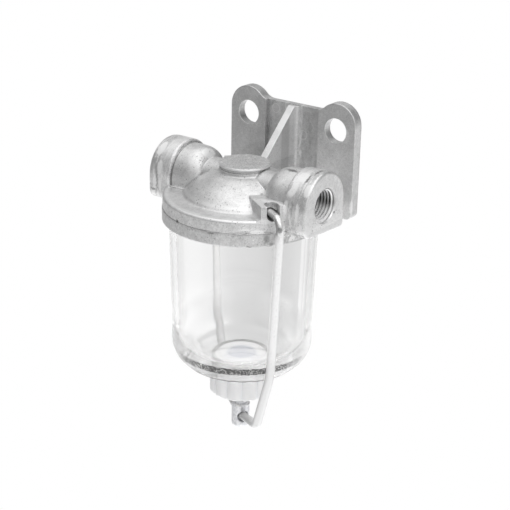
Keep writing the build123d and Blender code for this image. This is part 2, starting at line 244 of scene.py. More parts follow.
# (direction, cosine where the lobe starts, cosine where it is full, strength)
BASE = 0.02
LOBES = [
    (unit(0.000, 0.000, 1.000), 0.60, 0.97, 1.17),
    (unit(0.766, 0.000, 0.643), 0.60, 0.97, 0.14),
    (unit(-0.542, 0.542, 0.643), 0.60, 0.97, 0.24),
    (unit(-0.542, -0.542, 0.643), 0.60, 0.97, 0.30),
    (unit(0.542, -0.542, 0.643), 0.60, 0.97, 0.49),
    (unit(0.927, 0.375, 0.000), 0.60, 0.97, 0.25),
    (unit(-0.375, 0.927, 0.000), 0.60, 0.97, 0.28),
    (unit(-0.921, 0.391, 0.000), 0.60, 0.97, 0.10),
    (unit(0.766, 0.000, -0.643), 0.60, 0.97, 0.56),
    (unit(0.383, 0.663, -0.643), 0.60, 0.97, 0.72),
    (unit(-0.766, 0.000, -0.643), 0.60, 0.97, 0.47),
    (unit(-0.383, -0.663, -0.643), 0.60, 0.97, 0.55),
    (unit(0.383, -0.663, -0.643), 0.60, 0.97, 0.76),
    (unit(-0.547, 0.747, -0.379), 0.80, 0.96, 0.38),
    (unit(0.000, 0.000, -1.000), 0.60, 0.97, 0.60),
    (unit(-0.547, 0.747, -0.379), 0.94, 0.99, 0.30),
    (unit(-0.350, 0.500, -0.790), 0.72, 0.95, 0.55),
]

world = bpy.data.worlds.new("studio")
scene.world = world
world.use_nodes = True
wt = world.node_tree
wt.nodes.clear()
w = Graph(wt)
wdir = w.vmath("NORMALIZE", w.new("ShaderNodeTexCoord").outputs["Generated"])
total = None
for d, a, b, s in LOBES:
    lobe = w.step(w.vmath("DOT_PRODUCT", wdir, d), a, b, 0.0, s)
    total = lobe if total is None else w.math("ADD", total, lobe)
total = w.math("ADD", total, BASE)
bg = w.new("ShaderNodeBackground")
wt.links.new(total, bg.inputs["Color"])
bg.inputs["Strength"].default_value = 1.0
wout = w.new("ShaderNodeOutputWorld")
wt.links.new(bg.outputs[0], wout.inputs[0])


def area(name, loc, aim, size, energy):
    ld = bpy.data.lights.new(name, "AREA")
    ld.shape = "SQUARE"
    ld.size = size
    ld.energy = energy
    o = bpy.data.objects.new(name, ld)
    scene.collection.objects.link(o)
    o.location = loc
    o.rotation_mode = "QUATERNION"
    o.rotation_quaternion = (Vector(loc) - Vector(aim)).to_track_quat("Z", "Y")
    return o


area("top_box", (0.05, 0.05, 0.75), (0, -0.037, -0.03), 0.45, 0.22)
area("port_box", (0.50, -0.13, 0.36), (0.04, -0.037, -0.02), 0.16, 0.56)


# backdrop and floor: plain white, seen by the camera alone
def white(name, value=1.0):
    mat = bpy.data.materials.new(name)
    mat.use_nodes = True
    t = mat.node_tree
    t.nodes.clear()
    g = Graph(t)
    out = g.new("ShaderNodeOutputMaterial")
    em = g.new("ShaderNodeEmission")
    em.inputs[0].default_value = (1, 1, 1, 1)
    em.inputs[1].default_value = value
    t.links.new(em.outputs[0], out.inputs[0])
    return mat


def camera_only(o):
    o.visible_diffuse = o.visible_glossy = o.visible_transmission = False
    o.visible_shadow = o.visible_volume_scatter = False


def mesh_object(name, verts, faces, smooth=True):
    me = bpy.data.meshes.new(name)
    me.from_pydata([tuple(v) for v in verts], [], faces)
    me.validate()
    me.update()
    if smooth:
        me.polygons.foreach_set("use_smooth", [True] * len(me.polygons))
    o = bpy.data.objects.new(name, me)
    scene.collection.objects.link(o)
    return o


bm = bmesh.new()
bmesh.ops.create_uvsphere(bm, u_segments=48, v_segments=24, radius=3.0)
bm.normal_update()
sky_me = bpy.data.meshes.new("backdrop")
bm.to_mesh(sky_me)
bm.free()
sky = bpy.data.objects.new("backdrop", sky_me)
scene.collection.objects.link(sky)
sky_me.materials.append(white("backdrop_white"))
camera_only(sky)

# the studio walls as they show through the glass: (degrees round from straight behind
# the object, brightness); the floor below is brighter
WALLS = [(-60, 0.97), (-30, 0.97), (-19, 0.86), (-15.5, 0.90), (-12.5, 0.97), (-7, 0.97), (-4.3, 0.90), (-3.0, 0.80),
         (-1.0, 0.745), (0.3, 0.715), (1.6, 0.68), (2.3, 0.64), (3.2, 0.68), (6.7, 0.70), (9.5, 0.76),
         (11.7, 0.88), (15.0, 0.91), (19.5, 0.68), (27, 0.76), (60, 0.92)]
bm = bmesh.new()
bmesh.ops.create_uvsphere(bm, u_segments=48, v_segments=24, radius=2.8)
wall_me = bpy.data.meshes.new("studio_walls")
bm.to_mesh(wall_me)
bm.free()
walls = bpy.data.objects.new("studio_walls", wall_me)
scene.collection.objects.link(walls)
wall_mat = bpy.data.materials.new("studio_walls")
wall_mat.use_nodes = True
wall_mat.node_tree.nodes.clear()
wg = Graph(wall_mat.node_tree)
wd = wg.vmath("NORMALIZE", wg.new("ShaderNodeTexCoord").outputs["Object"])
across = wg.vmath("DOT_PRODUCT", wd, (0.8070, 0.5900, 0.0))
behind = wg.vmath("DOT_PRODUCT", wd, (-0.5900, 0.8070, 0.0))
turn = wg.times(wg.math("ARCTAN2", across, behind), 57.29578)
ramp = wg.new("ShaderNodeValToRGB")
els = ramp.color_ramp.elements
while len(els) > 1:
    els.remove(els[-1])
els[0].position, els[0].color = (WALLS[0][0] + 60) / 120, (WALLS[0][1],) * 3 + (1,)
for d, k in WALLS[1:]:
    e = els.new((d + 60) / 120)
    e.color = (k, k, k, 1)
wg.put(ramp.inputs[0], wg.lin(turn, -60, 60))
wz = wg.sep(wd)[2]
aside = wg.step(wg.math("ABSOLUTE", wg.math("SUBTRACT", turn, 2.5)), 4.0, 9.0, 0.95, 1.09)
kl = wg.mixf(wg.step(wz, -0.415, -0.45), 1.0, aside)
shade = wg.mix(wg.step(wz, -0.74, -0.90), wg.vmath("MULTIPLY", ramp.outputs[0], wg.join(kl, kl, kl)), (1.05, 1.05, 1.05))
wem = wg.new("ShaderNodeEmission")
wg.put(wem.inputs[0], shade)
wem.inputs[1].default_value = 1.0
wout2 = wg.new("ShaderNodeOutputMaterial")
wall_mat.node_tree.links.new(wem.outputs[0], wout2.inputs[0])
wall_me.materials.append(wall_mat)
walls.visible_camera = walls.visible_diffuse = walls.visible_glossy = False
walls.visible_shadow = walls.visible_volume_scatter = False

# plain white floor, well below the part, which hangs by its bracket
floor = mesh_object("floor", [(-1.5, -1.5, -1.9), (1.5, -1.5, -1.9), (1.5, 1.5, -1.9), (-1.5, 1.5, -1.9)],
                    [(0, 1, 2, 3)], smooth=False)
floor.data.materials.append(white("floor_white"))
camera_only(floor)

# light caught inside the glass
pl = bpy.data.lights.new("bowl_fill", "POINT")
pl.energy = 0.030
pl.shadow_soft_size = 0.008
bowl_fill = bpy.data.objects.new("bowl_fill", pl)
scene.collection.objects.link(bowl_fill)
bowl_fill.location = P(8, -11, -32)
bowl_fill.visible_camera = bowl_fill.visible_glossy = bowl_fill.visible_transmission = False


# ---------------------------------------------------------------- metal of the head
DARK_MARKS = [((26.8, -20.8, 3.2), (1.3, 1.3, 2.1), 0.55), ((27.9, -19.2, 1.1), (0.9, 0.9, 1.0), 0.5),
              ((29.4, -16.8, 3.4), (1.0, 1.6, 1.8), 0.35),
              ((-8.6, -32.7, 5.9), (0.8, 0.8, 0.5), 0.9), ((21.9, -25.7, 0.5), (1.0, 1.0, 0.3), 0.7),
              ((-37.2, -13.0, 8.3), (1.9, 1.6, 0.35), 0.9), ((39.9, 6.4, 10.0), (0.6, 0.6, 0.55), 0.95),
              ((8.5, -32.4, 4.9), (1.6, 1.2, 0.4), 0.7), ((33.3, -13.9, 15.0), (0.5, 1.5, 4.0), 0.45),
              ((16.3, -10.2, 17.4), (0.5, 0.9, 2.4), 0.5), ((36.9, -1.2, 27.9), (0.55, 3.0, 1.3), 0.85),
              ((25.2, -2.2, 26.4), (2.8, 0.8, 1.3), 0.9), ((30.4, -10.6, 23.0), (0.5, 1.6, 2.6), 0.6),
              ((35.8, -6.8, 26.2), (0.45, 2.2, 1.8), 0.75), ((-35.2, -13.6, 13.0), (0.4, 1.2, 4.0), 0.6),
              ((-38.4, -12.0, 16.0), (0.4, 1.6, 4.6), 0.6)]
# pale spots; the long thin one at the foot of the left neck, (-24.9, -12.5, 11.2), is a painted highlight along its
# fillet
PALE_MARKS = [((-18.2, -0.4, 24.8), (2.4, 3.4, 3.4), 0.75), ((24.2, -23.6, 6.4), (2.9, 2.9, 0.75), 0.9), ((20.5, -26.7, 7.4), (2.2, 2.2, 0.5), 0.7),
              ((31.8, -10.4, 22.8), (2.0, 3.4, 4.2), 1.0), ((33.4, -6.0, 26.2), (2.2, 3.0, 2.2), 1.0), ((38.4, -10.6, 23.2), (1.5, 2.6, 3.0), 1.0),
              ((-36.6, -8.6, 24.8), (1.6, 4.2, 3.2), 1.0), ((-34.2, -13.0, 18.0), (1.3, 1.5, 3.6), 0.8),
              ((-36.6, -14.0, 11.0), (0.9, 1.2, 3.6), 0.75), ((-33.6, -14.0, 10.5), (0.6, 1.2, 3.0), 0.7),
              ((33.0, -14.0, 11.0), (0.55, 1.2, 3.6), 0.95), ((35.8, -14.0, 14.5), (0.5, 1.2, 5.0), 0.95),
              ((38.0, -13.4, 8.0), (1.0, 1.2, 2.4), 0.8), ((30.6, -14.0, 16.0), (0.8, 1.2, 3.0), 0.9), ((27.2, 32.4, 33.0), (2.2, 1.0, 3.4), 0.35),
              ((22.7, -15.4, 16.5), (2.3, 0.7, 0.6), 0.9), ((29.0, -14.8, 16.0), (0.9, 0.9, 0.8), 1.0), ((24.3, -20.2, 15.6), (0.8, 0.8, 0.7), 0.9),
              ((-24.9, -12.5, 11.2), (3.6, 1.0, 0.5), 0.95),
              ((32.4, 32.4, 2.7), (1.3, 1.0, 3.4), 0.6)]


def cast_material():
    mat, g, b = material("cast_aluminium")
    p = g.mm()
    x, y, z = g.sep(p)
    ax, ay = g.math("ABSOLUTE", x), g.math("ABSOLUTE", y)
    r = g.math("SQRT", g.total(g.times(x, x), g.times(y, y)))
    warp = g.vmath("SCALE", g.vmath("SUBTRACT", g.noise(p, 0.9, 3.0, 0.6, out="Color"), (0.5, 0.5, 0.5)), scale=2.4)
    q = g.vmath("ADD", p, warp)
    big = g.noise(p, 0.20, 3.0, 0.55)
    mid = g.noise(p, 0.62, 3.0, 0.6)
    fine = g.noise(p, 2.3, 2.0, 0.6)
    # zones
    flange = g.times(g.step(z, 10.3, 11.0, 1.0, 0.0), g.step(r, 30.5, 31.5), g.step(y, 29.0, 31.5, 1.0, 0.0))
    block = g.times(g.step(ax, 28.4, 29.0), g.step(ay, 14.6, 15.0, 1.0, 0.0), g.step(z, 0.5, 1.5))
    side = g.times(block, g.step(ay, 12.6, 13.8), g.step(z, 19.0, 22.0, 1.0, 0.0))
    bracket = g.step(y, 32.0, 32.3)
    back = g.step(y, 36.2, 36.6)
    web = g.times(g.step(y, 33.4, 34.0), g.step(ax, 13.0, 13.6, 1.0, 0.0), g.math("SUBTRACT", 1.0, back))
    pads = g.times(bracket, g.step(ax, 13.2, 13.6), g.math("SUBTRACT", 1.0, back))
    bore = g.times(g.step(ax, 27.0, 27.6),
                   g.step(g.math("SQRT", g.total(g.times(y, y), g.math("POWER", g.math("SUBTRACT", z, 14.36), 2.0))),
                          7.36, 7.5, 1.0, 0.0))
    dome = g.times(g.step(r, 30.5, 31.5, 1.0, 0.0), g.step(z, 11.0, 11.6), g.step(y, 14.0, 18.0, 1.0, 0.0))
    # casting skin: clouds, mottle and grain, stronger on the flange
    grain = g.noise(p, 4.2, 2.0, 0.7)
    v = g.total(0.775, g.times(g.math("SUBTRACT", big, 0.5), 0.26),
                g.times(g.math("SUBTRACT", mid, 0.5), g.total(0.30, g.times(flange, 0.16))),
                g.times(g.math("SUBTRACT", fine, 0.5), g.total(0.42, g.times(flange, 0.12))),
                g.times(g.math("SUBTRACT", grain, 0.5), 0.30))
    v = g.times(v, g.mixf(pads, 1.0, 0.87), g.mixf(web, 1.0, 0.84), g.mixf(flange, 1.0, 0.93))
    lug = g.times(g.step(r, 23.0, 24.0), g.step(z, 11.6, 12.2), g.step(ax, 27.8, 28.6, 1.0, 0.0), g.step(y, 28.0, 30.0, 1.0, 0.0),
                  g.step(ay, 12.8, 14.0))
    top_face = g.step(g.sep(g.new("ShaderNodeNewGeometry").outputs["Normal"])[2], 0.35, 0.80)
    milled = g.noise(g.vmath("MULTIPLY", p, (0.05, 1.0, 3.2)), 1.0, 3.0, 0.6)
    v = g.times(v, g.mixf(back, 1.0, g.lin(milled, 0.3, 0.7, 0.66, 0.84)))
    v = g.times(v, g.mixf(g.times(pads, g.step(x, -13.0, -13.4)), 1.0, 0.83))
    v = g.times(v, g.mixf(g.times(flange, g.step(z, 5.6, 5.2)), 1.0, 0.90))
    v = g.times(v, g.mixf(g.times(flange, g.step(z, 5.6, 5.2), g.step(x, 27.0, 30.5)), 1.0, 0.80))
    # painted highlight along the rounded top edge of the flange, at the front
    v = g.mixf(g.times(g.step(r, 30.6, 31.6), g.band(z, 9.6, 11.2, 0.3), g.step(y, 20.0, 10.0), g.step(ax, 30.0, 28.0), 0.5), v, 0.97)
    # painted shade: the upper middle of the dome darker
    v = g.times(v, g.mixf(g.times(dome, g.step(z, 13.5, 15.5), g.step(r, 24.0, 14.0)), 1.0, 0.92))
    # painted highlight along the top of the rib
    rib_top_highlight = g.times(g.step(ax, 1.75, 1.95, 1.0, 0.0), g.step(y, 9.0, 10.0), g.step(y, 34.6, 34.0), g.step(z, 19.5, 20.5))
    v = g.mixf(g.times(rib_top_highlight, 0.45), v, 0.98)
    # painted highlight on the inner part of the block tops, painted shade on their upper outer part
    v = g.mixf(g.times(block, g.step(z, 21.0, 26.0), g.step(ax, 36.0, 34.0), 0.40), v, 0.98)
    v = g.times(v, g.mixf(g.times(block, g.step(z, 8.0, 20.0), g.step(ax, 34.0, 36.0), g.step(ax, 39.7, 39.3)), 1.0, 0.86))
    # painted highlight on the lug's upward faces, painted shade on its other faces
    v = g.mixf(g.times(lug, top_face, 0.8), v, 0.97)
    v = g.times(v, g.mixf(g.times(lug, g.math("SUBTRACT", 1.0, top_face)), 1.0, 0.84))
    face = g.times(g.step(ax, 39.6, 39.85), g.step(ay, 15.0, 15.5, 1.0, 0.0))
    # painted shade on the upper part of the port end faces, painted light on their lower part
    v = g.times(v, g.mixf(g.times(face, g.step(z, 4.0, 14.0)), 1.0, 0.92))
    v = g.mixf(g.times(face, g.step(z, 14.0, 4.0), 0.6), v, 0.94)
    # painted shade: dark groove where the left neck meets its block, seen from the middle, and the block's inner
    # rounding darkened against its highlight
    rp = g.math("SQRT", g.total(g.times(y, y), g.math("POWER", g.math("SUBTRACT", z, 14.0), 2.0)))
    painted_groove_shade = g.times(g.step(x, -28.0, -28.2), g.step(x, -29.3, -29.1), g.step(rp, 13.1, 12.85), g.step(z, 9.0, 10.5))
    v = g.times(v, g.mixf(g.times(g.step(x, -28.9, -29.0), g.step(x, -30.6, -30.0), g.step(rp, 14.05, 13.7)), 1.0, 0.84))
    v = g.mixf(g.times(painted_groove_shade, 0.75), v, 0.20)
    # painted highlight: bright line down the fillet at the foot of the rib
    root = g.times(g.step(y, 33.2, 34.2), g.math("SUBTRACT", 1.0, back), g.band(ax, 3.3, 4.5, 0.35), g.step(z, 17.0, 20.0),
                   g.step(g.noise(g.vmath("MULTIPLY", p, (1.5, 1.0, 0.35)), 1.0, 3.0, 0.6), 0.36, 0.56))
    v = g.mixf(g.times(root, 0.75), v, 0.96)
    # stains run down the recessed web
    stain = g.times(web, g.step(g.noise(g.vmath("MULTIPLY", q, (0.55, 1.0, 0.16)), 1.0, 4.0, 0.6), 0.50, 0.64))
    v = g.times(v, g.mixf(stain, 1.0, 0.84))
    v = g.times(v, g.mixf(g.times(web, g.step(x, 5.0, 9.0)), 1.0, 0.92))
    # dark specks and pits, most of them on the dome and the flange
    few = g.step(g.noise(p, 0.30, 2.0, 0.5), 0.46, 0.58)
    pit = g.times(g.step(g.voronoi(p, 0.95), 0.12, 0.30, 1.0, 0.0), few, g.either(dome, flange, 0.35))
    tiny = g.times(g.step(g.voronoi(p, 1.5), 0.10, 0.26, 1.0, 0.0),
                   g.step(g.noise(p, 0.45, 2.0, 0.5), 0.52, 0.60), g.either(dome, flange, 0.25))
    # small bright dots where the skin is rubbed
    dots = g.times(g.step(g.noise(p, 0.8, 3.0, 0.6), 0.62, 0.70), g.either(flange, g.times(side, 1.0), g.times(bracket, 0.35)))
    # rubbed blocks: streaks round their curve on top, upright smears on their sides
    streak = g.noise(g.vmath("MULTIPLY", q, (1.5, 0.10, 0.10)), 1.0, 4.0, 0.65)
    smear = g.noise(g.vmath("MULTIPLY", q, (1.1, 0.2, 0.09)), 1.0, 3.0, 0.6)
    rub = g.either(g.times(block, g.math("SUBTRACT", 1.0, side), g.step(streak, 0.52, 0.58)),
                   g.times(side, g.step(smear, 0.54, 0.59)))
    rub = g.times(rub, g.step(ax, 39.3, 39.8, 1.0, 0.0))
    tear = g.vmath("SCALE", g.vmath("SUBTRACT", g.noise(p, 1.7, 3.0, 0.75, out="Color"), (0.5, 0.5, 0.5)), scale=1.9)
    q2 = g.vmath("ADD", p, tear)
    pale = None
    for c, rad, k in PALE_MARKS:
        one = g.times(g.spot(q2, c, rad, 0.14), k)
        pale = one if pale is None else g.either(pale, one)
    dark = None
    for c, rad, k in DARK_MARKS:
        one = g.times(g.spot(q, c, rad, 0.45), k)
        dark = one if dark is None else g.either(dark, one)
    # ejector marks on the web
    marks = None
    for c in ((-9.4, 34.3, 38.0), (5.0, 34.3, 28.8), (9.9, 34.3, 12.0)):
        d = g.vmath("DISTANCE", p, c)
        one = g.band(d, 1.75, 2.1, 0.12)
        marks = one if marks is None else g.either(marks, one)
    # slanting scratches on the bracket
    slant = g.noise(g.vmath("MULTIPLY", g.join(g.total(x, g.times(z, 0.7)), y, g.total(z, g.times(x, -0.7))),
                            (2.6, 1.0, 0.12)), 1.0, 3.0, 0.6)
    scratch = g.times(bracket, g.step(slant, 0.60, 0.66), g.step(big, 0.48, 0.56))
    # paler edges: partly wear, partly a painted highlight along convex and concave edges
    edge = g.edge_mask(0.00045)
    worn_and_highlit_edge = g.times(edge, g.step(mid, 0.36, 0.52, 0.35, 1.0))
    worn_and_highlit_edge = g.times(worn_and_highlit_edge, g.math("SUBTRACT", 1.0, g.times(flange, 0.35)))
    # painted shade: crevices darkened from ambient occlusion
    ao = g.crevice(0.0016)
    painted_crevice_shade = g.step(ao, 0.30, 0.74, 1.0, 0.0)
    v = g.mixf(g.times(rub, 0.80), v, 0.96)
    v = g.mixf(g.times(dots, 0.5), v, 0.95)
    v = g.mixf(g.times(scratch, 0.35), v, 0.90)
    # worn edges and painted edge highlight, paler and glossier
    v = g.mixf(g.times(worn_and_highlit_edge, 0.85), v, 0.985)
    v = g.mixf(g.times(pale, 0.92), v, 0.98)
    v = g.mixf(g.times(marks, 0.45), v, 0.92)
    v = g.mixf(g.times(pit, 0.70), v, 0.24)
    v = g.mixf(g.times(tiny, 0.65), v, 0.26)
    # painted shade in the crevices
    v = g.mixf(g.times(painted_crevice_shade, 0.62), v, 0.16)
    v = g.mixf(g.times(dark, 0.85), v, 0.14)
    # painted shade deep in the bores, painted light on their lower half
    lit_lower_bore = g.times(bore, g.step(z, 14.0, 11.0, 0.0, 1.0))
    v = g.mixf(g.times(bore, 0.90), v, g.mixf(g.step(ax, 38.2, 39.2), 0.14, 0.50))
    v = g.mixf(g.times(lit_lower_bore, 0.9), v, 0.97)
    v = g.math("MINIMUM", g.math("MAXIMUM", v, 0.08), 0.98)
    g.put(b.inputs["Base Color"], g.join(v, v, v))
    g.put(b.inputs["Metallic"], g.mixf(g.either(pale, g.times(rub, 0.55), g.times(face, 0.45)), 0.90, 0.25))
    rr = g.lin(mid, 0.3, 0.7, 0.45, 0.52)
    rr = g.mixf(g.either(rub, pale), rr, 0.38)
    rr = g.mixf(worn_and_highlit_edge, rr, 0.36)
    rr = g.mixf(dark, rr, 0.75)
    g.put(b.inputs["Roughness"], rr)
    h = g.total(g.times(mid, g.total(0.34, g.times(flange, 0.15))), g.times(fine, 0.16), g.times(grain, 0.05),
                g.times(pit, -0.5), g.times(tiny, -0.3), g.times(rub, 0.10), g.times(marks, -0.25))
    g.put(b.inputs["Normal"], g.bump(h, 0.00024, 0.60, g.bevel(0.0003)))
    return mat


def plain_metal(name, lo, hi, rough, scale=1.5, dist=0.00008, metallic=1.0, bevel=0.0002):
    mat, g, b = material(name)
    p = g.mm()
    f = g.noise(p, scale, 4.0, 0.6)
    g.put(b.inputs["Base Color"], g.mix(g.step(f, 0.35, 0.65), lo, hi))
    b.inputs["Metallic"].default_value = metallic
    g.put(b.inputs["Roughness"], g.lin(f, 0.3, 0.7, rough - 0.06, rough + 0.06))
    g.put(b.inputs["Normal"], g.bump(f, dist, 0.5, g.bevel(bevel)))
    return mat


def glass_material():
    """Clear pressed glass; a painted grey band, standing in for a dark reflection, runs round the front of its bottom
    corner, a painted dark line follows the outline of its base, and a little dust lies above.
    """
    mat, g, b = material("clear_glass")
    p = g.mm()
    x, y, z = g.sep(p)
    r = g.math("SQRT", g.total(g.times(x, x), g.times(y, y)))
    # painted shade: the glass tinted grey where it is seen edge-on
    lw = g.new("ShaderNodeLayerWeight")
    lw.inputs[0].default_value = 0.5
    rim = g.step(lw.outputs["Facing"], 0.72, 0.97, 0.976, 0.55)
    tint = g.join(rim, rim, rim)
    g.put(b.inputs["Base Color"], tint)
    b.inputs["Roughness"].default_value = 0.0
    b.inputs["IOR"].default_value = 1.25
    b.inputs["Transmission Weight"].default_value = 1.0
    b.inputs["Coat Weight"].default_value = 0.25
    b.inputs["Coat Roughness"].default_value = 0.0
    b.inputs["Coat IOR"].default_value = 1.5
    outer = g.step(r, 28.0, 28.6)
    facing = g.vmath("DOT_PRODUCT", p, (0.59, -0.807, 0.0))
    front = g.step(facing, 10.5, 28.0)
    wob = g.times(g.math("SUBTRACT", g.noise(p, 0.9, 3.0, 0.6), 0.5), 1.2)
    zw = g.total(z, wob)
    # painted reflection: speckled dark grey band round the front of the bottom corner
    band = g.times(g.band(zw, -58.35, -55.15, 0.25), outer, front)
    speck = g.step(g.voronoi(p, 1.25), 0.33, 0.46, 0.30, 1.0)
    # painted shade along the outline of the base, at the front
    painted_base_line = g.times(g.band(z, -64.4, -62.8, 0.2), g.step(r, 20.0, 20.6), g.step(facing, 9.0, 19.0), 0.95)
    dust = g.times(g.step(g.voronoi(p, 0.36), 0.035, 0.075, 1.0, 0.0),
                   g.step(g.noise(p, 0.35, 1.0, 0.5), 0.50, 0.54), outer, 0.45)
    painted_band_and_dust = g.new("ShaderNodeBsdfPrincipled")
    tone = g.mixf(g.step(g.noise(p, 1.3, 2.0, 0.75), 0.44, 0.66), 0.07, 0.20)
    g.put(painted_band_and_dust.inputs["Base Color"], g.join(tone, tone, tone))
    painted_band_and_dust.inputs["Roughness"].default_value = 0.8
    painted_band_and_dust.inputs["Specular IOR Level"].default_value = 0.15
    # the thick bottom corner lets light straight through
    clear = g.new("ShaderNodeBsdfPrincipled")
    g.put(clear.inputs["Base Color"], tint)
    clear.inputs["Roughness"].default_value = 0.0
    clear.inputs["IOR"].default_value = 1.03
    clear.inputs["Transmission Weight"].default_value = 1.0
    corner = g.times(g.step(r, 20.0, 26.0), g.step(z, -52.0, -42.0, 1.0, 0.0))
    pane = g.new("ShaderNodeMixShader")
    g.put(pane.inputs[0], g.times(corner, 0.85))
    g.t.links.new(b.outputs[0], pane.inputs[1])
    g.t.links.new(clear.outputs[0], pane.inputs[2])
    mixer = g.new("ShaderNodeMixShader")
    g.put(mixer.inputs[0], g.either(g.times(band, speck, 0.95), painted_base_line, dust))
    g.t.links.new(pane.outputs[0], mixer.inputs[1])
    g.t.links.new(painted_band_and_dust.outputs[0], mixer.inputs[2])
    out = [n for n in g.t.nodes if n.bl_idname == "ShaderNodeOutputMaterial"][0]
    g.t.links.new(mixer.outputs[0], out.inputs[0])
    return mat


def plastic(name, col, rough, sss=0.0, trans=0.0):
    mat, g, b = material(name)
    p = g.mm()
    f = g.noise(p, 0.8, 3.0, 0.5)
    g.put(b.inputs["Base Color"], g.mix(g.step(f, 0.3, 0.7), tuple(c * 0.97 for c in col), col))
    b.inputs["Roughness"].default_value = rough
    b.inputs["Subsurface Weight"].default_value = sss
    b.inputs["Subsurface Radius"].default_value = (1.0, 1.0, 1.0)
    b.inputs["Subsurface Scale"].default_value = 0.002
    b.inputs["Transmission Weight"].default_value = trans
    g.put(b.inputs["Normal"], g.bump(f, 0.0001, 0.4))
    return mat


def wire_material():
    """Zinc-plated wire: bright and smooth at its hooks, dull and scuffed down the legs."""
    mat, g, b = material("zinc_wire")
    p = g.mm()
    x, y, z = g.sep(p)
    f = g.noise(p, 1.1, 4.0, 0.6)
    top = g.step(z, 6.0, 8.5)
    c = g.mix(g.step(f, 0.35, 0.65), (0.93, 0.93, 0.93), (0.99, 0.99, 0.99))
    scuff = g.times(g.step(g.noise(p, 0.8, 3.0, 0.7), 0.60, 0.66), g.math("SUBTRACT", 1.0, top))
    c = g.mix(g.times(scuff, 0.25), c, (0.60, 0.60, 0.60))
    c = g.mix(g.step(z, -44.0, -62.0), c, (0.76, 0.76, 0.76))
    # painted shade along both sides of the wire, stronger on one side low down the legs
    side = g.vmath("DOT_PRODUCT", g.new("ShaderNodeNewGeometry").outputs["Normal"], (-0.807, -0.590, 0.0))
    c = g.mix(g.times(g.step(side, 0.35, 0.95), g.step(z, -35.0, -55.0, 0.05, 0.24)), c, (0.50, 0.50, 0.50))
    c = g.mix(g.times(g.step(side, -0.65, -0.98), 0.14), c, (0.50, 0.50, 0.50))
    # painted reflection: dark grey patches below the highlight of the upper bend
    stain = g.times(g.spot(p, (33.2, -22.2, 6.8), (1.9, 1.5, 2.6), 0.4), g.step(g.noise(p, 1.2, 2.0, 0.5), 0.36, 0.48))
    c = g.mix(g.times(stain, 0.30), c, (0.45, 0.45, 0.45))
    bend_dark_reflection = g.spot(p, (33.7, -22.1, 8.9), (1.4, 1.4, 1.2), 0.35)
    # painted shade on one side of the upper bend
    shade = g.times(g.step(side, 0.35, 0.75), g.band(z, 6.5, 12.5, 0.8))
    c = g.mix(g.times(g.either(bend_dark_reflection, shade), 0.75), c, (0.28, 0.28, 0.28))
    g.put(b.inputs["Base Color"], c)
    g.put(b.inputs["Metallic"], g.mixf(top, 0.30, 0.75))
    g.put(b.inputs["Roughness"], g.mixf(top, 0.32, 0.27))
    g.put(b.inputs["Normal"], g.bump(f, 0.00008, 0.5))
    return mat


def gauze_material():
    mat, g, b = material("strainer_gauze")
    p = g.mm()
    x, y, z = g.sep(p)
    wx = g.math("SINE", g.times(x, 9.0))
    wy = g.math("SINE", g.times(y, 9.0))
    warp = g.math("ABSOLUTE", wx)
    weft = g.math("ABSOLUTE", wy)
    h = g.either(g.times(warp, g.lin(wy, -1.0, 1.0, 0.7, 1.0)), g.times(weft, g.lin(wx, -1.0, 1.0, 1.0, 0.7)))
    g.put(b.inputs["Base Color"], g.mix(g.step(h, 0.45, 0.85), (0.10, 0.08, 0.05), (0.78, 0.66, 0.42)))
    b.inputs["Metallic"].default_value = 0.9
    b.inputs["Roughness"].default_value = 0.4
    g.put(b.inputs["Normal"], g.bump(h, 0.0002, 0.8))
    return mat


def pad_material():
    """White nylon pad; its recess in the middle is thinner and looks bluish, darkened with painted shade, and a painted
    contact shadow runs round its edge.
    """
    mat, g, b = material("pad_plastic")
    p = g.mm()
    x, y, z = g.sep(p)
    r = g.math("SQRT", g.total(g.times(x, x), g.times(y, y)))
    f = g.noise(p, 0.9, 3.0, 0.5)
    c = g.mix(g.step(f, 0.3, 0.7), (0.92, 0.925, 0.935), (0.95, 0.955, 0.965))
    # painted shade in the recess, on top of the thinner plastic's bluish tone
    c = g.mix(g.step(r, 5.9, 7.2, 1.0, 0.0), c, (0.66, 0.675, 0.73))
    c = g.mix(g.times(g.band(r, 10.2, 10.8, 0.3), 0.40), c, (0.55, 0.55, 0.56))
    # painted contact shadow: a speckled dark line round the pad's top edge, strongest at the back
    rear = g.step(g.vmath("DOT_PRODUCT", p, (0.59, -0.807, 0.0)), 9.0, -6.0)
    shadow_speckle = g.step(g.noise(p, 1.6, 2.0, 0.7), 0.36, 0.56, 0.55, 1.0)
    line = g.times(g.step(g.total(r, g.times(rear, 1.9)), 12.15, 12.5), shadow_speckle, g.lin(rear, 0.0, 1.0, 0.15, 0.95), g.step(z, -65.9, -65.7))
    c = g.mix(line, c, (0.16, 0.16, 0.16))
    g.put(b.inputs["Base Color"], c)
    b.inputs["Roughness"].default_value = 0.45
    b.inputs["Subsurface Weight"].default_value = 0.15
    b.inputs["Subsurface Radius"].default_value = (1.0, 1.0, 1.0)
    b.inputs["Subsurface Scale"].default_value = 0.001
    g.put(b.inputs["Normal"], g.bump(f, 0.0001, 0.4))
    return mat


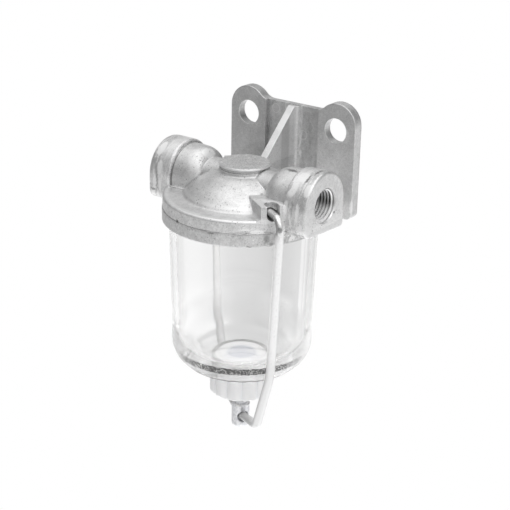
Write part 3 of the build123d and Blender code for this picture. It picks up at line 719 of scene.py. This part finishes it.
def nut_material():
    """Natural nylon: milky, with painted bluish shade in the hollows between the flutes."""
    mat, g, b = material("nut_plastic")
    p = g.mm()
    x, y, z = g.sep(p)
    r = g.math("SQRT", g.total(g.times(x, x), g.times(y, y)))
    f = g.noise(p, 0.8, 3.0, 0.5)
    # painted shade: bluish in the hollows between the flutes
    c = g.mix(g.step(r, 12.4, 13.6), (0.90, 0.91, 0.94), (0.975, 0.975, 0.985))
    c = g.mix(g.times(g.step(f, 0.5, 0.7), 0.3), c, (0.90, 0.91, 0.95))
    g.put(b.inputs["Base Color"], c)
    b.inputs["Roughness"].default_value = 0.36
    b.inputs["Subsurface Weight"].default_value = 0.6
    b.inputs["Subsurface Radius"].default_value = (1.0, 1.0, 1.0)
    b.inputs["Subsurface Scale"].default_value = 0.0025
    g.put(b.inputs["Normal"], g.bump(f, 0.0001, 0.35))
    return mat


def screw_material():
    """Zinc plate with blotches of blue-grey; a painted dark line, for the shade in a faint crease, runs up the side."""
    mat, g, b = material("zinc_screw")
    p = g.mm()
    x, y, z = g.sep(p)
    f = g.noise(p, 0.9, 3.0, 0.6)
    blot = g.noise(p, 0.45, 2.0, 0.6)
    c = g.mix(g.step(f, 0.36, 0.62), (0.70, 0.71, 0.73), (0.94, 0.94, 0.95))
    c = g.mix(g.times(g.step(blot, 0.50, 0.62), 0.5), c, (0.58, 0.60, 0.64))
    # painted shade: a dark line in the faint crease up the side
    crease_shade = g.spot(p, (2.9, -2.9, -89.5), (0.35, 0.35, 2.6), 0.5)
    c = g.mix(g.times(crease_shade, 0.6), c, (0.30, 0.30, 0.32))
    g.put(b.inputs["Base Color"], c)
    b.inputs["Metallic"].default_value = 0.75
    g.put(b.inputs["Roughness"], g.lin(f, 0.3, 0.7, 0.30, 0.46))
    g.put(b.inputs["Normal"], g.bump(f, 0.00014, 0.6, g.bevel(0.0002)))
    return mat


def rubber_material():
    mat, g, b = material("gasket_rubber")
    p = g.mm()
    f = g.noise(p, 1.2, 3.0, 0.6)
    g.put(b.inputs["Base Color"], g.mix(g.step(f, 0.4, 0.7), (0.03, 0.03, 0.03), (0.07, 0.07, 0.07)))
    b.inputs["Roughness"].default_value = 0.65
    g.put(b.inputs["Normal"], g.bump(f, 0.0001, 0.5))
    return mat


def plug_material():
    """Aluminium disc with an even speckle and a few darker spots."""
    mat, g, b = material("plug_metal")
    p = g.mm()
    x, y, z = g.sep(p)
    fine = g.noise(p, 2.0, 3.0, 0.65)
    mid = g.noise(p, 0.5, 3.0, 0.6)
    v = g.total(0.70, g.times(g.math("SUBTRACT", fine, 0.5), 0.95), g.times(g.math("SUBTRACT", mid, 0.5), 0.35))
    # painted highlight on the plug's rim and side below its top face
    v = g.mixf(g.times(g.step(z, 23.95, 24.3, 1.0, 0.0), 0.85), v, 0.96)
    v = g.math("MINIMUM", g.math("MAXIMUM", v, 0.2), 0.95)
    g.put(b.inputs["Base Color"], g.join(v, v, v))
    b.inputs["Metallic"].default_value = 1.0
    b.inputs["Roughness"].default_value = 0.55
    g.put(b.inputs["Normal"], g.bump(g.total(g.times(fine, 0.5), g.times(mid, 0.6)), 0.00018, 0.55, g.bevel(0.0002)))
    return mat


def thread_material():
    mat, g, b = material("cut_thread")
    p = g.mm()
    f = g.noise(g.vmath("MULTIPLY", p, (3.0, 0.5, 0.5)), 1.0, 3.0, 0.6)
    ao = g.crevice(0.0012)
    x, y, z = g.sep(p)
    zc = g.math("SUBTRACT", z, 14.36)
    rr = g.math("SQRT", g.total(g.times(y, y), g.times(zc, zc)))
    crest = g.step(rr, 6.92, 6.50)
    # painted shade in the hollows and roots of the thread, painted highlight on its crests
    v = g.mixf(g.step(ao, 0.15, 0.6), 0.45, g.lin(f, 0.3, 0.7, 0.82, 0.97))
    v = g.times(v, g.mixf(crest, 0.16, 0.92))
    # painted light on the lower half of the thread
    lit_lower_bore = g.times(g.step(z, 14.2, 10.6), g.step(g.math("ABSOLUTE", x), 27.0, 28.0))
    v = g.mixf(lit_lower_bore, v, g.mixf(crest, 0.90, 1.0))
    g.put(b.inputs["Base Color"], g.join(v, v, v))
    g.put(b.inputs["Metallic"], g.mixf(lit_lower_bore, 1.0, 0.10))
    b.inputs["Roughness"].default_value = 0.33
    g.put(b.inputs["Normal"], g.bump(f, 0.00004, 0.4))
    return mat


CAST = cast_material()
dress(NODES["head_casting"], CAST)
dress(NODES["core_plug"], plug_material())
dress(NODES["bail_wire"], wire_material())
SCREW = screw_material()
dress(NODES["eye_screw"], SCREW)
dress(NODES["glass_bowl"], glass_material())
NODES["glass_bowl"].visible_shadow = False
NODES["glass_bowl"].visible_diffuse = False
dress(NODES["clamp_nut"], nut_material())
dress(NODES["thrust_pad"], pad_material())
BRASS = plain_metal("brass", (0.62, 0.48, 0.24), (0.80, 0.64, 0.36), 0.35)
for n in ("strainer_rim", "strainer_eyelet", "nut_insert"):
    dress(NODES[n], BRASS)
dress(NODES["strainer_gauze"], gauze_material())
dress(NODES["bowl_gasket"], rubber_material())


# ---------------------------------------------------------------- threads and flash, as meshes
def helix(name, axis, r_root, r_crest, a0, a1, pitch, turns_seg=56, centre=(0, 0, 0), crest=0.12, root=0.42, limit=None, phase=0.0):
    """Right-hand thread ridge. Along axis X or Z from a0 to a1; limit(a) caps how far the crest stands."""
    n = int((a1 - a0) / pitch * turns_seg)
    verts, faces = [], []
    for i in range(n + 1):
        a = a0 + (a1 - a0) * i / n
        t = 2 * math.pi * (a - a0) / pitch + phase
        fade = min(1.0, i / (turns_seg * 0.3), (n - i) / (turns_seg * 0.3))
        rc = r_root + (r_crest - r_root) * fade
        if limit:
            rc = limit(a, rc)
        for da, rr in ((-root * pitch, r_root), (-crest * pitch, rc), (crest * pitch, rc), (root * pitch, r_root)):
            c, s = math.cos(t) * rr, math.sin(t) * rr
            if axis == "X":
                verts.append(P(a + da + centre[0], c + centre[1], s + centre[2]))
            else:
                verts.append(P(c + centre[0], s + centre[1], a + da + centre[2]))
    for i in range(n):
        for k in range(4):
            q = (i * 4 + k, i * 4 + (k + 1) % 4, i * 4 + 4 + (k + 1) % 4, i * 4 + 4 + k)
            faces.append(q if axis == "X" else q[::-1])
    faces.append((0, 3, 2, 1) if axis == "X" else (0, 1, 2, 3))
    faces.append(tuple(n * 4 + k for k in ((0, 1, 2, 3) if axis == "X" else (3, 2, 1, 0))))
    o = mesh_object(name, verts, faces, smooth=True)
    bm = bmesh.new()
    bm.from_mesh(o.data)
    bmesh.ops.recalc_face_normals(bm, faces=bm.faces)
    bm.to_mesh(o.data)
    bm.free()
    o.data.set_sharp_from_angle(angle=math.radians(35))
    return o


THREAD = thread_material()


def port_limit(side):
    def f(a, rc):
        out = 6.46 + (abs(a) - 38.9)          # chamfered mouth
        return min(7.02, max(rc, out))
    return f


t_out = helix("outlet_thread", "X", 7.03, 6.22, 28.6, 39.2, 1.5, centre=(0, 0, 14.36), limit=port_limit(1), phase=math.pi)
t_in = helix("inlet_thread", "X", 7.03, 6.22, -39.2, -28.6, 1.5, centre=(0, 0, 14.36), limit=port_limit(-1))
t_screw = helix("screw_thread", "Z", 2.72, 3.0, -86.1, -74.9, 1.0, turns_seg=40)
for o, mat_, slot in ((t_out, THREAD, "cast_head"), (t_in, THREAD, "cast_head"), (t_screw, SCREW, "zinc_screw")):
    dress(o, mat_)
    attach(o, "head")


def wobble(seed, n, rough=4):
    """Smooth uneven values from 0 to 1."""
    rnd = random.Random(seed)
    vals = [rnd.random() for _ in range(n // rough + 3)]
    out = []
    for i in range(n + 1):
        k, f = divmod(i / rough, 1.0)
        a, c = vals[int(k)], vals[int(k) + 1]
        out.append(a + (c - a) * f * f * (3 - 2 * f))
    return out


def flash_strip(name, pts, outs, ups, heights, thick):
    """Thin uneven fin along a line: pts on the surface, outs away from it, ups across the fin."""
    verts, faces = [], []
    n = len(pts)
    for p0, o0, u0, h, t in zip(pts, outs, ups, heights, thick):
        verts += [p0 - o0 * 0.12 + u0 * t, p0 + o0 * h * 0.8 + u0 * t * 0.45, p0 + o0 * h - u0 * t * 0.2,
                  p0 - o0 * 0.12 - u0 * t]
    for i in range(n - 1):
        for k in range(4):
            faces.append((i * 4 + k, i * 4 + (k + 1) % 4, i * 4 + 4 + (k + 1) % 4, i * 4 + 4 + k))
    faces.append((3, 2, 1, 0))
    faces.append(tuple((n - 1) * 4 + k for k in range(4)))
    o = mesh_object(name, [P(*v) for v in verts], faces, smooth=False)
    bm = bmesh.new()
    bm.from_mesh(o.data)
    bmesh.ops.recalc_face_normals(bm, faces=bm.faces)
    bm.to_mesh(o.data)
    bm.free()
    dress(o, CAST)
    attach(o, "head")
    return o


def arc_flash(name, az0, az1, r, z, n, seed, h0, h1, t0, t1):
    a = [math.radians(az0 + (az1 - az0) * i / n) for i in range(n + 1)]
    w1, w2 = wobble(seed, n, 3), wobble(seed + 1, n, 5)
    ends = [min(1.0, i / 4.0, (n - i) / 4.0) for i in range(n + 1)]
    pts = [Vector((r * math.cos(t), r * math.sin(t), z + 0.06 * (k - 0.5))) for t, k in zip(a, w2)]
    outs = [Vector((math.cos(t), math.sin(t), 0)) for t in a]
    ups = [Vector((0, 0, 1))] * (n + 1)
    flash_strip(name, pts, outs, ups, [(h0 + (h1 - h0) * k) * e for k, e in zip(w1, ends)],
                [(t0 + (t1 - t0) * k) * (0.3 + 0.7 * e) for k, e in zip(w2, ends)])


arc_flash("flash_front_left", -158, -62, 33.72, 5.45, 190, 3, 0.02, 0.16, 0.05, 0.14)
arc_flash("flash_front_right", -60, -34, 33.70, 5.7, 70, 5, 0.12, 0.50, 0.14, 0.42)
arc_flash("flash_side", 20, 60, 33.72, 5.45, 90, 9, 0.02, 0.18, 0.05, 0.14)
arc_flash("flash_rear_left", 125, 160, 33.72, 5.45, 80, 13, 0.02, 0.18, 0.05, 0.14)


def bead(name, pts, radius, seed, segs=8):
    """Small uneven fillet bead along a line of points."""
    n = 40
    path = []
    for i in range(n + 1):
        f = i / n * (len(pts) - 1)
        k = min(int(f), len(pts) - 2)
        path.append(Vector(pts[k]).lerp(Vector(pts[k + 1]), f - k))
    w1 = wobble(seed, n, 4)
    verts, faces = [], []
    for i, q in enumerate(path):
        d = (path[min(i + 1, n)] - path[max(i - 1, 0)]).normalized()
        side_ = d.cross(Vector((0, 0, 1))).normalized()
        upv = Vector((0, 0, 1))
        rr = radius * (0.75 + 0.5 * w1[i]) * min(1.0, 0.2 + i / 4.0, 0.2 + (n - i) / 4.0)
        for k in range(segs):
            t = 2 * math.pi * k / segs
            verts.append(P(*(q + side_ * rr * math.cos(t) + upv * rr * math.sin(t))))
    for i in range(n):
        for k in range(segs):
            faces.append((i * segs + k, i * segs + (k + 1) % segs, (i + 1) * segs + (k + 1) % segs, (i + 1) * segs + k))
    faces.append(tuple(range(segs))[::-1])
    faces.append(tuple(n * segs + k for k in range(segs)))
    o = mesh_object(name, verts, faces)
    bm = bmesh.new()
    bm.from_mesh(o.data)
    bmesh.ops.recalc_face_normals(bm, faces=bm.faces)
    bm.to_mesh(o.data)
    bm.free()
    dress(o, CAST)
    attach(o, "head")


bead("foot_left_port", [(-29.6, -13.0, 10.85), (-26.0, -12.75, 10.85), (-22.4, -12.55, 10.85), (-20.6, -12.2, 10.9)], 0.42, 21)
bead("foot_right_port", [(20.6, 12.2, 10.9), (22.4, 12.55, 10.85), (26.0, 12.75, 10.85), (28.9, 13.0, 10.85)], 0.42, 23)
